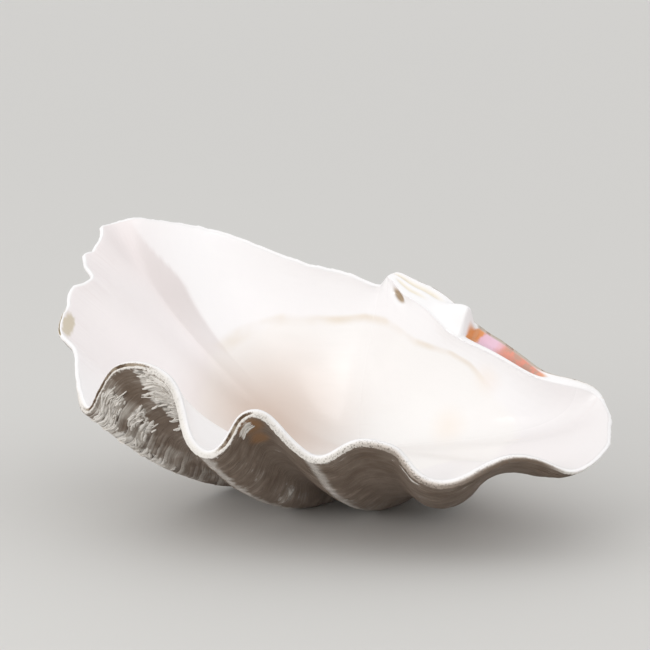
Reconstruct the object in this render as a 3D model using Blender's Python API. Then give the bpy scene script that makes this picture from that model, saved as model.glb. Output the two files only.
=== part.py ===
"""Giant clam shell: the right valve of a giant clam, lying on its ribs with the hollow side up.

The valve grew as one piece and is one closed solid. Its outside is a growth spiral: going back in
age, the wavy rim shrinks towards the beak and turns about the hinge. Its inside is a smooth bowl
that the waves of the rim fade into. Outside and inside meet in the edge of the rim, and beside the
beak in the broad hinge plate with its tooth and its ligament pit.

The valve is shaped in its own frame, in millimetres, with the beak at the origin: "along" runs on
the hinge to the rear end, "out" from the hinge across the opening, and "up" out of the hollow. It is
then laid down as it rests, with the middle of the underside of its box at the world's origin.
"""
import math

import bmesh
import bpy
import numpy as np
from mathutils import Euler

MM = 0.001

# The rim as it is walked from the rear end past the ribs to the front end and back along the hinge:
# along, out, and up from the rim's mean plane.
RIM = (
    # rear end, slightly chipped
    (157, 22, -3), (172, 33, -3), (191, 62, -3),
    # rib A
    (195, 89, -4), (190, 102, -5), (177, 113, 1),
    # fold between ribs A and B, then rib B
    (161, 129, 6), (150, 146, 1), (142, 161, -6), (132, 171, -9), (119, 177, -5),
    # fold between ribs B and C, then rib C
    (105, 178, 4), (95, 184, 9), (82, 194, 10), (72, 202, 3), (60, 209, -8), (50, 214, -5),
    # fold between ribs C and D, then rib D
    (38, 219, 5), (25, 222, 14), (16, 228, 17), (9, 235, 12), (5, 243, -3), (1, 254, -12),
    # high fold between ribs D and E
    (-12, 256, -8), (-27, 249, 3), (-42, 244, 17), (-59, 247, 24), (-74, 255, 24), (-87, 261, 14),
    # rib E, the lowest lobe
    (-98, 265, -10), (-106, 264, -25), (-120, 257, -24), (-136, 246, -14), (-147, 238, -8),
    # small cupped lobe and the notch before rib F
    (-165, 234, -6), (-175, 225, -4), (-182, 212, 0), (-188, 199, 4), (-190, 182, 8),
    # ribs F and G at the front end
    (-211, 167, 4), (-220, 154, 3), (-226, 138, 6), (-235, 118, 3), (-228, 105, 3), (-219, 92, 6),
    # back margin, thin and gently waved
    (-202, 76, 6), (-177, 63, 4), (-144, 54, 2), (-102, 43, 0), (-69, 31, 0), (-44, 23, 0),
    # lip of the beak
    (-39, 15, 9), (-23, 12, 9), (-8, 9, 7), (12, 9, 4),
    # lip of the ligament pit
    (40, 12, 0), (70, 17, 0), (105, 25, 0), (121, 26, 0), (140, 23, 0),
)
RIM_PLANE = 11.0            # height of the rim's mean plane over the beak
MEAN_WAVES = 5              # waves round the rim that its smooth mean still has
WALL_WAVES, WALL_DEPTH = 4, 0.9 # waves round the wall of the bowl from this depth on
FLOOR_WAVES = 2             # waves round the bowl that still reach its floor

# Growth: how far the rim has turned about the hinge, by how much smaller it was.
TURN = (1.35, 2.9, -1.9)    # radians, for the first, second and third power of the lost size
ONE_GROWTH = 0.99           # size of the rim one small growth earlier
LEDGES = (0.30, 0.44, 0.57, 0.68, 0.78, 0.87, 0.94)     # sizes at which growth paused
LEDGE_STEP = 1.6            # how far a growth ledge stands out
LEDGE_WIDTH = 0.012         # size grown over the step of a ledge
LEDGE_FULL = 60.0           # distance from the beak from which the ledges are full

# Belly: how much further out the ribs bulge under the bowl, at places along the hinge.
BELLY = ((-190, 0), (-115, 12), (-60, 3), (-10, 0), (10, 0), (55, 14), (130, 9), (190, 0))
BELLY_OUT = (80, 160)       # "out" on the rim from where it starts to where it is full
BELLY_SIZES = (0.1, 1.0)    # sizes between which it bulges

# Edge of the rim.
EDGE_RIBS = 6.5             # thickness at the ribs and at the rear end
EDGE_BACK = 3.5             # thickness along the back margin in front of the beak
EDGE_OUT = (60, 160)        # "out" from the back margin to where the edge is as thick as at the ribs
EDGE_REAR = (0, 150)        # "along" from the beak to where the back margin is as thick as the ribs
EDGE_ROUND = 1.2            # how far the edge is rounded up

# Hinge plate: its breadth at places along the hinge, and what stands on it or is sunk in it.
PLATE = ((-46, 0), (-36, 12), (-14, 24), (30, 27), (58, 21), (100, 13), (134, 5), (150, 0))
PLATE_OUT = 60.0            # "out" up to which the rim belongs to the hinge
PLATE_FULL = 12.0           # breadth from which the plate has taken the place of the rim's edge
TOOTH = dict(start=-20.0, end=36.0, ease_in=34.0, ease_out=4.0, near=0.05, far=0.98, height=16.0)
PIT = dict(start=36.0, end=128.0, ease_in=4.0, ease_out=60.0, near=0.05, far=0.85, height=-6.0)
BEAK_GROOVE = dict(start=-44.0, end=12.0, ease_in=10.0, ease_out=18.0, near=0.1, far=0.5, height=-5.0)

# Inside.
FLOOR = (-3.0, 84.0, -88.0)         # middle of the bowl's floor: along, out, up
FLOOR_RISE = (0.55, 0.19)           # how the floor rises through its middle, along and out
WALL_REACH = 0.35           # how long the bowl keeps the slope of the wall, of its breadth
FLOOR_REACH = 0.30          # how far the plane of the floor reaches, of its breadth
FADE = 1.9                  # power by which the waves fade into the bowl
SMOOTH_FROM, SMOOTH_TO = 0.35, 0.85 # depths between which the last of the waves goes
FADE_TURN = 0.6             # size lost from the rim to the floor, for the turning of the waves

# Rest: turns about the level axes and about the upright, and the wear at the points of rest.
REST_TURN = (14.6, 16.7, -38.7)     # degrees
REST_WEAR = 3.5             # height worn off where the ribs rest

# Mesh.
COLUMNS = 112
OUTSIDE_ROWS = (0.04, 0.10, 0.17, 0.24, 0.36, 0.50, 0.625, 0.73, 0.82, 0.905, 0.97, 1.0)
EDGE_ROWS = (0.2, 0.5, 0.8)
INSIDE_ROWS = (0.02, 0.07, 0.14, 0.22, 0.31, 0.40, 0.50, 0.60, 0.70, 0.80, 0.90)


def closed_spline(knots, count):
    """A smooth closed curve through the knots, as a number of points on it."""
    following = np.roll(knots, -1, axis=0)
    gap = np.linalg.norm(following - knots, axis=1) ** 0.5
    before = np.roll(gap, 1)
    slope = (following - knots) / gap[:, None]
    size = len(knots)
    index = np.arange(size)
    system = np.zeros((size, size))
    system[index, index] = 2 * (gap + before)
    system[index, (index + 1) % size] = gap
    system[index, (index - 1) % size] = before
    bend = np.linalg.solve(system, 6 * (slope - np.roll(slope, 1, axis=0)))
    ends = np.cumsum(gap)
    place = np.linspace(0, ends[-1], count, endpoint=False)
    span = np.searchsorted(ends, place, side="right")
    there = (place - (ends - gap)[span])[:, None]
    left = gap[span][:, None] - there
    width = gap[span][:, None]
    bend_next = np.roll(bend, -1, axis=0)
    cubic = (bend[span] * left ** 3 + bend_next[span] * there ** 3) / (6 * width)
    line = (knots[span] / width - bend[span] * width / 6) * left
    line += (following[span] / width - bend_next[span] * width / 6) * there
    return cubic + line


def smooth_mean(loop, count):
    """The same loop with only so many of its broadest waves."""
    waves = np.fft.rfft(loop, axis=0)
    waves[count + 1:] = 0
    return np.fft.irfft(waves, len(loop), axis=0)


def unit(vectors):
    return vectors / np.linalg.norm(vectors, axis=-1, keepdims=True)


def turn(size):
    lost = 1 - size
    return TURN[0] * lost + TURN[1] * lost ** 2 + TURN[2] * lost ** 3


def spin(points, angle):
    """Points turned about the hinge, which is the x axis, so that the rim's side goes down."""
    x, y, z = points.T
    turned = (x, y * math.cos(angle) - z * math.sin(angle), y * math.sin(angle) + z * math.cos(angle))
    return np.stack(turned, axis=1)


def grow(loop, size):
    """The rim as it was when the valve had this size."""
    return size * spin(loop, turn(size))


def rim_directions(loop):
    """At each point of a rim, unit vectors out of the shell's outer face and back into the shell."""
    onward = unit(np.roll(loop, -1, axis=0) - np.roll(loop, 1, axis=0))
    backward = grow(loop, ONE_GROWTH) - loop
    inward = unit(backward - np.sum(backward * onward, axis=1, keepdims=True) * onward)
    outward = np.cross(onward, inward)
    return outward, inward


def bump(value, near, far):
    """A smooth hump between near and far, one at its middle and nothing outside."""
    place = np.clip((value - near) / (far - near), 0, 1)
    return np.sin(math.pi * place) ** 2


def ease(share):
    """A share kept between nothing and one, with a soft start and end."""
    share = np.clip(share, 0, 1)
    return share * share * (3 - 2 * share)


def window(value, start, end, ease_in, ease_out):
    """One between start and end, with eased sides that lie inside."""
    return ease((value - start) / ease_in) * ease((end - value) / ease_out)


def relief(along, across, shape):
    """Height of one feature of the hinge plate, at a place along the hinge and across the plate."""
    there = window(along, shape["start"], shape["end"], shape["ease_in"], shape["ease_out"])
    return shape["height"] * there * bump(across, shape["near"], shape["far"])


def edge_loops():
    """The rim's outer edge, its inner edge, and how far each column is rim and not hinge plate."""
    knots = np.array(RIM, float) * (1, -1, 1) + (0, 0, RIM_PLANE)
    line = closed_spline(knots, COLUMNS)
    along = line[:, 0]
    out = -line[:, 1]
    plate = np.interp(along, *zip(*PLATE)) * (out < PLATE_OUT)
    back = np.interp(out, EDGE_OUT, (1, 0)) * np.interp(along, EDGE_REAR, (1, 0))
    thick = EDGE_RIBS + (EDGE_BACK - EDGE_RIBS) * back
    edge_share = 1 - np.clip(plate / PLATE_FULL, 0, 1)
    outward, _ = rim_directions(line)
    outer = line + outward * (thick * edge_share)[:, None]
    inner = line + plate[:, None] * (0, -1, 0)
    return outer, inner, edge_share


def outside_loops(outer):
    """Loops of the outside from the beak to the outer edge, with a step at every growth ledge."""
    sizes = [(size, 0.0) for size in OUTSIDE_ROWS]
    for size in LEDGES:
        sizes += [(size - LEDGE_WIDTH, 0.0), (size, LEDGE_STEP)]
    loops = []
    belly = np.interp(outer[:, 0], *zip(*BELLY)) * np.interp(-outer[:, 1], BELLY_OUT, (0, 1))
    down, _ = rim_directions(smooth_mean(outer, MEAN_WAVES))
    for size, step in sorted(sizes):
        loop = grow(outer, size)
        outward, _ = rim_directions(loop)
        ledge = step * np.clip(np.linalg.norm(loop, axis=1) / LEDGE_FULL, 0, 1)
        bulge = belly * bump(size, *BELLY_SIZES)
        loops.append(loop + outward * ledge[:, None] + spin(down * bulge[:, None], turn(size)))
    return loops


def edge_rows(outer, inner, edge_share):
    """Loops across the edge of the rim and across the hinge plate."""
    _, inward = rim_directions(outer)
    loops = []
    for across in EDGE_ROWS:
        loop = outer + (inner - outer) * across
        loop -= inward * (edge_share * EDGE_ROUND * math.sin(math.pi * across))[:, None]
        height = sum(relief(loop[:, 0], across, shape) for shape in (TOOTH, PIT, BEAK_GROOVE))
        loop[:, 2] += height * (1 - edge_share)
        loops.append(loop)
    return loops


def inside_loops(inner):
    """Loops of the bowl from the inner edge to the floor, and the middle of the floor."""
    mean = smooth_mean(inner, MEAN_WAVES)
    wave = inner - mean
    _, inward = rim_directions(mean)
    floor = np.array(FLOOR) * (1, -1, 1)
    breadth = np.linalg.norm((mean - floor)[:, :2], axis=1, keepdims=True)
    wall = mean + inward * breadth * WALL_REACH
    calm_wall = smooth_mean(wall, WALL_WAVES)
    level = smooth_mean(inner, FLOOR_WAVES) - floor
    level[:, 2] = level[:, 0] * FLOOR_RISE[0] - level[:, 1] * FLOOR_RISE[1]
    flat = floor + level * FLOOR_REACH
    loops = []
    for depth in INSIDE_ROWS:
        rest = 1 - depth
        calm = ease(depth / WALL_DEPTH)
        bowl = rest ** 3 * mean + 3 * rest ** 2 * depth * (wall + (calm_wall - wall) * calm)
        bowl += 3 * rest * depth ** 2 * flat + depth ** 3 * floor
        height = rest ** FADE * ease((SMOOTH_TO - depth) / (SMOOTH_TO - SMOOTH_FROM))
        loops.append(bowl + spin(wave, turn(1 - FADE_TURN * depth)) * height)
    return loops, floor


def lay_down(points):
    """Points of the valve's own frame in metres where the valve rests, its worn ribs on the ground."""
    rest = np.array(Euler([math.radians(angle) for angle in REST_TURN], "XYZ").to_matrix())
    points = points @ rest.T
    low = points.min(axis=0)
    high = points.max(axis=0)
    points -= ((low[0] + high[0]) / 2, (low[1] + high[1]) / 2, low[2] + REST_WEAR)
    points[:, 2] = np.maximum(points[:, 2], 0)
    return points * MM


def build_shell():
    """The whole valve as one closed mesh, a net of rows round it that ends at beak and floor."""
    outer, inner, edge_share = edge_loops()
    inside, floor = inside_loops(inner)
    loops = outside_loops(outer) + edge_rows(outer, inner, edge_share) + [inner] + inside
    beak = np.zeros(3)
    points = lay_down(np.concatenate(loops + [beak[None, :], floor[None, :]]))

    shell = bmesh.new()
    vertices = [shell.verts.new(point) for point in points]
    floor_tip = vertices.pop()
    beak_tip = vertices.pop()
    rows = [vertices[start:start + COLUMNS] for start in range(0, len(vertices), COLUMNS)]
    for column in range(COLUMNS):
        following = (column + 1) % COLUMNS
        shell.faces.new((beak_tip, rows[0][column], rows[0][following]))
        shell.faces.new((floor_tip, rows[-1][following], rows[-1][column]))
        for row, row_next in zip(rows, rows[1:]):
            shell.faces.new((row[column], row_next[column], row_next[following], row[following]))
    bmesh.ops.triangulate(shell, faces=shell.faces)

    mesh = bpy.data.meshes.new("shell")
    shell.to_mesh(mesh)
    shell.free()
    mesh.shade_smooth()
    mesh.materials.append(shell_material())
    shell_object = bpy.data.objects.new("shell", mesh)
    bpy.context.collection.objects.link(shell_object)


def shell_material():
    material = bpy.data.materials.new("chalky shell")
    material.use_nodes = True
    surface = material.node_tree.nodes["Principled BSDF"]
    surface.inputs["Base Color"].default_value = (0.86, 0.82, 0.76, 1)
    surface.inputs["Roughness"].default_value = 0.55
    surface.inputs["Metallic"].default_value = 0.0
    return material


for old in list(bpy.data.objects):
    bpy.data.objects.remove(old)
build_shell()
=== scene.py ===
"""The looks of the giant clam shell: one valve, lying on its ribs with the hollow side up."""
import math

import bmesh
import bpy
import numpy as np
from mathutils import Euler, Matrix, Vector


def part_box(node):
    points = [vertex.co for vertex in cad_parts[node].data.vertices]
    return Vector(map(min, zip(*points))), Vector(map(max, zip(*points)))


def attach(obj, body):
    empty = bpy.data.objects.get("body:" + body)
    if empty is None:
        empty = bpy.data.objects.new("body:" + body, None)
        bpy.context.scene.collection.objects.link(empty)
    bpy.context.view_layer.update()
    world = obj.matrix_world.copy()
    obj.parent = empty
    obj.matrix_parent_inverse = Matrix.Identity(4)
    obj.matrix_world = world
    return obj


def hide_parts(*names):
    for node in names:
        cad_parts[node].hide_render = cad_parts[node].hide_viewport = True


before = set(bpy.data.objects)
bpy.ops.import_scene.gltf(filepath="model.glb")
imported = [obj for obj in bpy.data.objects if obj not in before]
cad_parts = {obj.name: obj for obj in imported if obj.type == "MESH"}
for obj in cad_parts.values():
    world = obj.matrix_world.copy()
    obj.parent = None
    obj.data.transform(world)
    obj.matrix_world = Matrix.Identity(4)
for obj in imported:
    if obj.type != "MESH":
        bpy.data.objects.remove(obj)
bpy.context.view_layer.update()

# Shell.
# The real valve is chalky aragonite, laid down by the animal sheet under sheet at the rim, so its
# outside is a growth spiral of overlapping sheets and its inside is smooth porcelain.
# Here it is a closed net of rows round the rim, which a node tree grows, sheets and lays down.
MM = 0.001
RIM = (
    # rear end, slightly chipped
    (157, 22, -3), (172, 33, -3), (191, 62, -3),
    # rib A
    (195, 89, -4), (190, 102, -5), (177, 113, 1),
    # fold between ribs A and B, then rib B
    (161, 129, 6), (150, 146, 1), (142, 161, -6), (132, 171, -9), (119, 177, -5),
    # fold between ribs B and C, then rib C
    (105, 178, 4), (95, 184, 9), (82, 194, 10), (72, 202, 3), (60, 209, -8), (50, 214, -5),
    # fold between ribs C and D, then rib D
    (38, 219, 5), (25, 222, 14), (16, 228, 17), (9, 235, 12), (5, 243, -3), (1, 254, -12),
    # high fold between ribs D and E
    (-12, 256, -8), (-27, 249, 3), (-42, 244, 17), (-59, 247, 24), (-74, 255, 24), (-87, 261, 14),
    # rib E, the lowest lobe
    (-98, 265, -10), (-106, 264, -25), (-120, 257, -24), (-136, 246, -14), (-147, 238, -8),
    # small cupped lobe and the notch before rib F
    (-165, 234, -6), (-175, 225, -4), (-182, 212, 0), (-188, 199, 4), (-190, 182, 8),
    # ribs F and G at the front end
    (-211, 167, 4), (-220, 154, 3), (-226, 138, 8), (-236, 117, 8), (-229, 104, 11), (-219, 92, 9),
    # back margin, thin and gently waved
    (-202, 76, 6), (-177, 63, 4), (-144, 54, 2), (-102, 43, 0), (-69, 31, 0), (-44, 23, 0),
    # lip of the beak
    (-39, 15, 10.5), (-23, 12, 11.5), (-8, 9, 10), (12, 9, 7),
    # lip of the ligament pit
    (40, 12, 0), (70, 17, 0), (105, 25, 0), (121, 26, 0), (140, 23, 0),
)
RIM_PLANE = 11.0                    # height of the rim's mean plane over the beak
MEAN_WAVES = 5                      # waves round the rim that its smooth mean still has
WALL_WAVES, WALL_DEPTH = 4, 0.9     # waves round the wall of the bowl from this depth on
BROAD_WAVES, CORNER_DEPTH = 17, 0.22  # waves of the rim that are left in the bowl from this depth on
FLOOR_WAVES = 2                     # waves round the bowl that still reach its floor
TURN = (1.35, 2.9, -1.9)            # turn about the hinge by lost size: first, second, third power
ONE_GROWTH = 0.99                   # size of the rim one small growth earlier
BELLY = (                           # how far the belly swells, at millimetres along the hinge
    (-190, 0), (-115, 12), (-60, 3), (-10, 0), (10, 0), (55, 14), (130, 9), (190, 0),
)
BELLY_OUT = (80, 160)               # distance from the hinge at which it starts and is full
BELLY_SIZES = (0.1, 1.0)            # sizes between which it swells
EDGE_RIBS, EDGE_BACK = 6.5, 3.5     # thickness of the rim's edge at the ribs and the back margin
EDGE_OUT, EDGE_REAR = (60, 160), (0, 150)  # from the back's to the ribs': out from the hinge, along it
EDGE_ROUND = 1.8                    # how far the edge is rounded
PLATE = (                           # breadth of the hinge plate, at millimetres along the hinge
    (-46, 0), (-36, 12), (-14, 24), (30, 27), (58, 21), (100, 13), (134, 5), (150, 0),
)
PLATE_OUT = 60.0                    # distance from the hinge beyond which there is none
PLATE_FULL = 12.0                   # breadth from which it takes the edge's place
TOOTH = dict(start=4.0, end=41.0, ease_in=35.0, ease_out=1.8, near=0.05, far=0.98, height=20.0)
PIT = dict(start=40.5, end=128.0, ease_in=1.8, ease_out=40.0, near=-0.1, far=0.85, height=-7.0)
GROOVES = (                         # between the beak's lip and the hinge plate
    dict(start=-42.0, end=14.0, ease_in=10.0, ease_out=16.0, near=0.12, far=0.42, height=-1.7),
    dict(start=-34.0, end=4.0, ease_in=8.0, ease_out=16.0, near=0.5, far=0.75, height=-0.9),
)
HOLE = (-22.0, 17.0)                # little hollow in the wall under the beak: along, up
HOLE_REACH, HOLE_SLANT, HOLE_DEPTH = (8.5, 4.2), 0.2, 6.0
HOLE_PRESS = (0.0, 0.75, -0.65)     # direction in which it is pressed in
HOLE_UNTIL = 0.2                    # depth of the bowl at which it has ended
FLOOR = (-3.0, 84.0, -88.0)         # middle of the bowl's floor: along, out, up
FLOOR_RISE = (0.55, 0.19)           # slope of the floor along the hinge and out from it
WALL_REACH, FLOOR_REACH = 0.35, 0.30  # how far the bowl keeps to its wall and to its floor
FADE, FADE_TURN = 1.9, 0.6          # how fast the rim's waves fade into the bowl, and turn with it
SMOOTH_FROM, SMOOTH_TO = 0.35, 0.85  # depths between which the last of them go
REST_TURN = (14.6, 16.7, -38.7)     # degrees
CORNER_RAISED = 4.6                 # how far the corner at rib G stands over the solid's highest point

# What changes round the rim is given at millimetres along it, from the rear end by ribs A to G.
CORNERS = (                         # how far the margin's corners stand out at ribs E to G
    (640, 0), (654, 3.8), (663, 0), (673, -1.5), (690, 0), (704, 0.5), (711, 4.2), (718, 0), (738, 0),
    (748, 3.8), (755, 0.5), (765, -1.5), (775, 0),
)
THINNED = (                         # share of its thickness that the edge has
    (0, 0.85), (30, 0.75), (60, 0.5), (115, 0.6), (150, 1), (540, 1), (575, 0.6), (700, 0.6), (760, 1),
    (1140, 1), (1190, 0.85),
)
THINNED_FROM = 0.93                 # size from which it is thinned
FRAYED_FROM = 0.975                 # size from which the margin is nibbled
BROKEN = (                          # where sheets have come off: along the rim, sizes
    (430, 482, 0.85, 1.001), (496, 540, 0.945, 1.001), (486, 520, 0.87, 0.935), (520, 574, 0.83, 0.99),
    (342, 370, 0.96, 1.001), (196, 222, 0.965, 1.001),
)
BROKEN_SIDE, BROKEN_END = 12, 0.02  # how softly these end: along the rim, in size
BROKEN_START = 0.03                 # how softly the first begins, which goes on to the margin
SEAM = (                            # depth of the gap between the inner and outer layers of the edge
    (340, 0), (350, 2.2), (374, 2.0), (384, 0), (455, 0), (472, 1.2), (482, 3.0), (522, 3.0), (538, 0.8),
    (548, 0), (609, 0), (615, 3.2), (632, 3.2), (638, 0),
)
SEAM_ACROSS = (0.14, 0.74)
SEAM_FULL = 2.4                     # depth that the gap's mark gives as one
SPECKLE = (                         # how pitted and grey the edge is
    (0, 0.05), (100, 0.25), (140, 0.9), (265, 1.0), (290, 0.45), (330, 0.5), (350, 0.25),
    (400, 0.12), (450, 0.35), (530, 0.5), (560, 0.2), (640, 0.1), (1190, 0.05),
)
FLAKY = (                           # how proud the sheets of the outside stand
    (0, 0.4), (100, 0.25), (190, 0.18), (234, 0.08), (285, 0.15), (335, 0.08), (365, 0.15), (395, 0.2),
    (430, 0.3), (475, 0.15), (495, 0.3), (535, 0.45), (600, 0.5), (700, 0.5), (850, 0.6), (1190, 0.4),
)
FRAYED = (                          # how far the margin's line is nibbled
    (0, 0.8), (18, 1.0), (28, 2.4), (50, 2.0), (66, 0.6), (120, 0.3), (420, 0.3), (480, 0.9),
    (545, 0.6), (620, 1.2), (760, 1.1), (800, 1.7), (960, 1.7), (985, 0.3), (1060, 0.0), (1190, 0.6),
)
SCAR = (                            # depth of the line that the mantle's edge left in the bowl
    (0, 0.36), (190, 0.42), (390, 0.46), (560, 0.46), (700, 0.44), (805, 0.41), (831, 0.37),
    (858, 0.33), (890, 0.28), (940, 0.265), (970, 0.24), (1010, 0.27), (1035, 0.27), (1050, 0.24),
    (1075, 0.19), (1092, 0.19), (1112, 0.24), (1190, 0.36),
)
CREASE_RUN, CREASE_DRIFT, CREASE_LEVEL = 770.0, 36.0, 0.22
CREASE_DEPTH, CREASE_NEAR, CREASE_FAR, CREASE_END = 2.6, 26.0, 9.0, 0.55
CHANNEL_SHADE = dict(start=-95, end=4, ease_in=80, ease_out=5, near=-0.2, far=0.62)  # painted shade, pinkish grey, up to the crease
HOLLOW_FROM, HOLLOW_EASE, HOLLOW_CALM = -2, 9, 0.75  # from this fold on the sheets lie flatter
HINGE_FROM, HINGE_EASE = 20, 60     # distance from the hinge where they begin to stand, and its ease

FINE = 1700                         # places of the rim as it is drawn
COLUMNS = 560                       # places of it that the net uses
CARE_HINGE, CARE_FRONT = 1.0, 0.35  # how much closer they lie at the hinge and on the front
SHEETS = 33                         # growth sheets from the beak to the rim
SHEET_CROWD = 1.5                   # power by which the sheets crowd towards the rim
SHEET_JITTER = 0.3                  # how unevenly they follow each other, of their gap
SHEET_ROWS = (                      # rows over one sheet: share of its growth, lift, tuck
    (0.02, 0.0, 1.0),
    (0.5, 0.35, 0.0),
    (0.95, 1.0, -0.3),
    (1.0, 0.5, -0.2),
)
EDGE_ROWS = 15
DEPTH_ROWS = 30
DEPTH_CROWD = 1.5                   # power by which the bowl's rows crowd towards the rim
DEEPEST = 0.96                      # depth of the bowl's last row
A_LITTLE = 0.01                     # growth over which a direction is taken


def closed_spline(knots, count):
    """A smooth closed curve through the knots, as a number of points on it."""
    following = np.roll(knots, -1, axis=0)
    gap = np.linalg.norm(following - knots, axis=1) ** 0.5
    before = np.roll(gap, 1)
    slope = (following - knots) / gap[:, None]
    index = np.arange(len(knots))
    system = np.zeros((len(knots), len(knots)))
    system[index, index] = 2 * (gap + before)
    system[index, (index + 1) % len(knots)] = gap
    system[index, (index - 1) % len(knots)] = before
    bend = np.linalg.solve(system, 6 * (slope - np.roll(slope, 1, axis=0)))
    ends = np.cumsum(gap)
    place = np.linspace(0, ends[-1], count, endpoint=False)
    span = np.searchsorted(ends, place, side="right")
    there = (place - (ends - gap)[span])[:, None]
    left = gap[span][:, None] - there
    width = gap[span][:, None]
    bend_next = np.roll(bend, -1, axis=0)
    cubic = (bend[span] * left ** 3 + bend_next[span] * there ** 3) / (6 * width)
    line = (knots[span] / width - bend[span] * width / 6) * left
    line += (following[span] / width - bend_next[span] * width / 6) * there
    return cubic + line


def smooth_mean(loop, count):
    """The same loop with only so many of its broadest waves."""
    waves = np.fft.rfft(loop, axis=0)
    waves[count + 1:] = 0
    return np.fft.irfft(waves, len(loop), axis=0)


def turn(size):
    lost = 1 - size
    return TURN[0] * lost + TURN[1] * lost ** 2 + TURN[2] * lost ** 3


def spin(points, angle):
    """Points turned about the hinge, the x axis, so that the rim's side goes down."""
    x, y, z = points.T
    turned = (x, y * math.cos(angle) - z * math.sin(angle), y * math.sin(angle) + z * math.cos(angle))
    return np.stack(turned, axis=1)


def unit(vectors):
    return vectors / np.linalg.norm(vectors, axis=-1, keepdims=True)


def tangents(loop):
    return unit(np.roll(loop, -1, axis=0) - np.roll(loop, 1, axis=0))


def rim_directions(loop):
    """At each point of a rim, unit vectors out of the shell's outer face and back into the shell."""
    onward = tangents(loop)
    backward = ONE_GROWTH * spin(loop, turn(ONE_GROWTH)) - loop
    inward = unit(backward - np.sum(backward * onward, axis=1, keepdims=True) * onward)
    return np.cross(onward, inward), inward


def ease(share):
    share = np.clip(share, 0, 1)
    return share * share * (3 - 2 * share)


def window(value, start, end, ease_in, ease_out):
    """One between start and end, with eased sides that lie inside."""
    return ease((value - start) / ease_in) * ease((end - value) / ease_out)


def bump(value, near, far):
    return np.sin(math.pi * np.clip((value - near) / (far - near), 0, 1)) ** 2


def relief(along, across, shape):
    """Share of one feature of the hinge plate, at a place along the hinge and across the plate."""
    there = window(along, shape["start"], shape["end"], shape["ease_in"], shape["ease_out"])
    return there * bump(across, shape["near"], shape["far"])


def round_rim(table):
    """A value that the table gives at distances along the rim, at each of its places."""
    return np.interp(run, *zip(*table))


line = closed_spline(np.array(RIM, float) * (1, -1, 1) + (0, 0, RIM_PLANE), FINE)
steps = np.linalg.norm(np.roll(line, -1, axis=0) - line, axis=1)
run = np.cumsum(steps) - steps
line -= rim_directions(line)[1] * round_rim(CORNERS)[:, None]
along = line[:, 0]
out = -line[:, 1]
plate = np.interp(along, *zip(*PLATE)) * (out < PLATE_OUT)
edge_share = 1 - np.clip(plate / PLATE_FULL, 0, 1)
back = np.interp(out, EDGE_OUT, (1, 0)) * np.interp(along, EDGE_REAR, (1, 0))
thick = EDGE_RIBS + (EDGE_BACK - EDGE_RIBS) * back
full = line + rim_directions(line)[0] * (thick * edge_share)[:, None]
outer = line + (full - line) * round_rim(THINNED)[:, None]
inner = line + plate[:, None] * (0, -1, 0)
mean = smooth_mean(outer, MEAN_WAVES)
down = rim_directions(mean)[0]
belly = down * (np.interp(along, *zip(*BELLY)) * np.interp(out, BELLY_OUT, (0, 1)))[:, None]
fold = -np.sum((outer - mean) * down, axis=1)

care = np.cumsum(steps * (1 + CARE_HINGE * (1 - edge_share) + CARE_FRONT * (out > PLATE_OUT)))
picked = np.searchsorted(care, np.linspace(0, care[-1], COLUMNS, endpoint=False), side="right")
rows = []


def add_row(points, **marks):
    """One row of the net, with the marks that its points carry to the node trees."""
    row = dict(size=1.0, lift=0.0, tuck=0.0, sheet=SHEETS, across=0.0)
    row.update(frayed=0.0, broken=0.0, seam=0.0, pit=0.0, groove=0.0, hole=0.0, scar=-1.0, channel=0.0)
    row.update(marks)
    marked = {name: np.broadcast_to(value, FINE)[picked] for name, value in row.items()}
    rows.append(dict(points=points[picked], **marked))


def broken_share(size):
    """How bare the outside is round the rim at this size, where sheets have come off."""
    zones = []
    for number, (first, last, oldest, newest) in enumerate(BROKEN):
        bare = window(size, oldest, newest, BROKEN_END, BROKEN_END)
        if number == 0:
            bare = ease((size - oldest) / BROKEN_START)
        zones.append(window(run, first, last, BROKEN_SIDE, BROKEN_SIDE) * bare)
    return np.maximum.reduce(zones)


chance = np.random.default_rng(7)
frayed = round_rim(FRAYED)
pauses = 1 - (np.arange(SHEETS, -1, -1) / SHEETS) ** SHEET_CROWD
gaps = np.diff(pauses)
pauses[1:-1] += gaps[1:] * chance.uniform(-SHEET_JITTER, SHEET_JITTER, SHEETS - 1)
for sheet, (start, end) in enumerate(zip(pauses[:-1], pauses[1:])):
    for share, lift, tuck in SHEET_ROWS:
        if sheet == SHEETS - 1:
            lift, tuck = 0.0, tuck * (share < 0.5)
        row_size = start + (end - start) * share
        owner = sheet if share > 0.5 or not tuck else sheet - 1
        near_rim = ease((row_size - FRAYED_FROM) / (1 - FRAYED_FROM))
        loop = full + (outer - full) * ease((row_size - THINNED_FROM) / (1 - THINNED_FROM))
        marks = dict(frayed=frayed * near_rim, broken=broken_share(row_size))
        add_row(loop, size=row_size, lift=lift, tuck=tuck, sheet=owner, **marks)

inward = rim_directions(outer)[1]
seam = round_rim(SEAM)
for across in np.linspace(0, 1, EDGE_ROWS + 2)[1:-1]:
    gap_share = bump(across, *SEAM_ACROSS)
    loop = outer + (inner - outer) * across
    loop -= inward * (edge_share * EDGE_ROUND * math.sin(math.pi * across))[:, None]
    loop += inward * (edge_share * seam * gap_share)[:, None]
    tooth, pit = (relief(loop[:, 0], across, shape) * (1 - edge_share) for shape in (TOOTH, PIT))
    grooves = [relief(loop[:, 0], across, shape) * (1 - edge_share) for shape in GROOVES]
    loop[:, 2] += tooth * TOOTH["height"] + pit * PIT["height"]
    loop[:, 2] += sum(share * shape["height"] for share, shape in zip(grooves, GROOVES))
    marks = dict(frayed=frayed, seam=gap_share * seam / SEAM_FULL, pit=pit, groove=np.maximum(*grooves))
    add_row(loop, across=across, **marks)


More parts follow.
